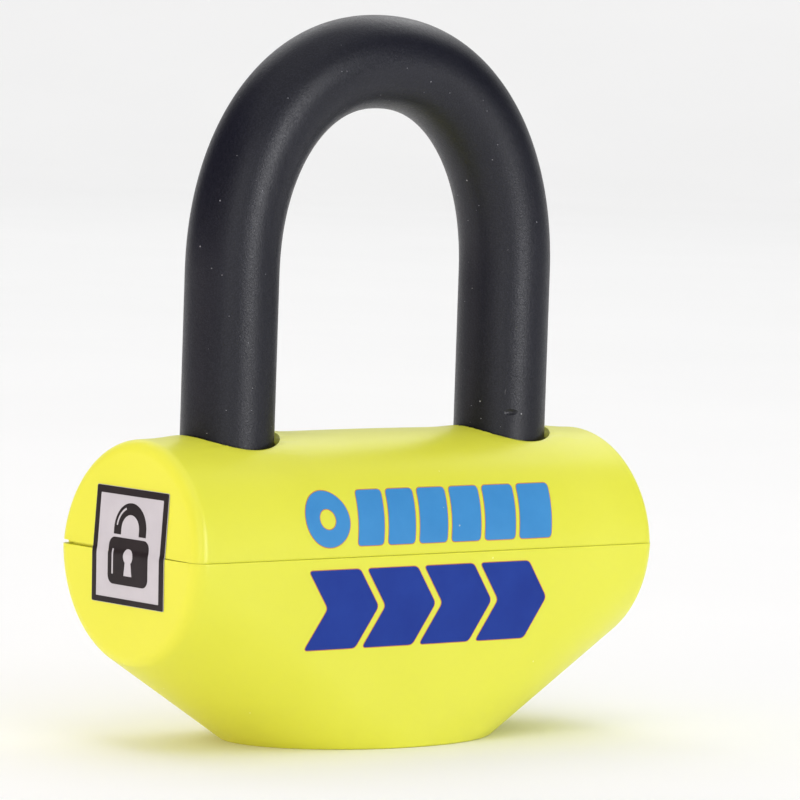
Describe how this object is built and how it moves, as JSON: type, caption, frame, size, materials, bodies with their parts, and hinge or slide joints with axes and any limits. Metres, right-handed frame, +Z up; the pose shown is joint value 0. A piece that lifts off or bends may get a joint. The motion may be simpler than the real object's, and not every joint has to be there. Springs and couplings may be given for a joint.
{
  "type": "disc brake lock",
  "caption": "Motorcycle disc brake lock: a thick U shackle lifts out of a steel crossbar in a moulded cover; an underside key drives two bolts into notches in its legs.",
  "frame": {"origin": "centre of the flat underside that the lock stands on", "axes": "+Z up along the shackle legs, X along the crossbar, -Y towards the printed front; the end with the sticker is -X"},
  "size_m": [0.1026, 0.0404, 0.1255],
  "materials": {
    "cover": "satin moulded yellow plastic",
    "shackle": "satin black coating on hardened steel bar",
    "label": "printed vinyl sticker",
    "steel": "turned and drawn steel",
    "bolt_steel": "ground steel",
    "cast": "zinc die casting",
    "brass": "machined brass",
    "disc_steel": "stamped steel",
    "dark_plastic": "moulded black plastic",
    "screw": "darkened steel"
  },
  "bodies": {
    "lock_body": {"upper_cover": "cover", "lower_cover": "cover", "end_label": "label", "crossbar_tube": "steel", "left_end_plug": "steel", "right_end_plug": "steel", "upper_guide": "cast", "lower_guide": "cast", "barrel_housing": "steel", "retaining_pin_left": "bolt_steel", "retaining_pin_right": "bolt_steel", "cylinder_shell": "brass", "retaining_ring": "bolt_steel", "cover_screw_front_left": "screw", "cover_screw_front_right": "screw", "cover_screw_rear_left": "screw", "cover_screw_rear_right": "screw"},
    "lock_plug": {"plug_core": "brass", "front_disc": "disc_steel", "detainer_disc_1": "disc_steel", "detainer_disc_2": "disc_steel", "detainer_disc_3": "disc_steel", "detainer_disc_4": "disc_steel", "detainer_disc_5": "disc_steel", "detainer_disc_6": "disc_steel", "detainer_disc_7": "disc_steel", "side_bar": "bolt_steel", "scroll_cam": "cast"},
    "bolt_left": {"left_bolt": "bolt_steel"},
    "bolt_right": {"right_bolt": "bolt_steel"},
    "shackle_body": {"shackle": "shackle"},
    "shutter": {"keyhole_shutter": "dark_plastic"}
  },
  "joints": [
    {"name": "shackle_lift", "type": "slide", "parent": "lock_body", "child": "shackle_body", "axis": [0, 0, 1], "range_m": [0, 0.045]},
    {"name": "plug_turn", "type": "hinge", "parent": "lock_body", "child": "lock_plug", "pos_m": [0, 0, 0.015], "axis": [0, 0, 1], "range_deg": [0, 90]},
    {"name": "left_bolt_slide", "type": "slide", "parent": "lock_body", "child": "bolt_left", "axis": [-1, 0, 0], "range_m": [0, 0.0044]},
    {"name": "right_bolt_slide", "type": "slide", "parent": "lock_body", "child": "bolt_right", "axis": [1, 0, 0], "range_m": [0, 0.0044]},
    {"name": "shutter_slide", "type": "slide", "parent": "lock_body", "child": "shutter", "axis": [1, 0, 0], "range_m": [0, 0.0136]}
  ],
  "couplings": [
    {"joint": "left_bolt_slide", "follows": "plug_turn", "m_per_rad": 0.0027375},
    {"joint": "right_bolt_slide", "follows": "plug_turn", "m_per_rad": 0.0027375}
  ]
}
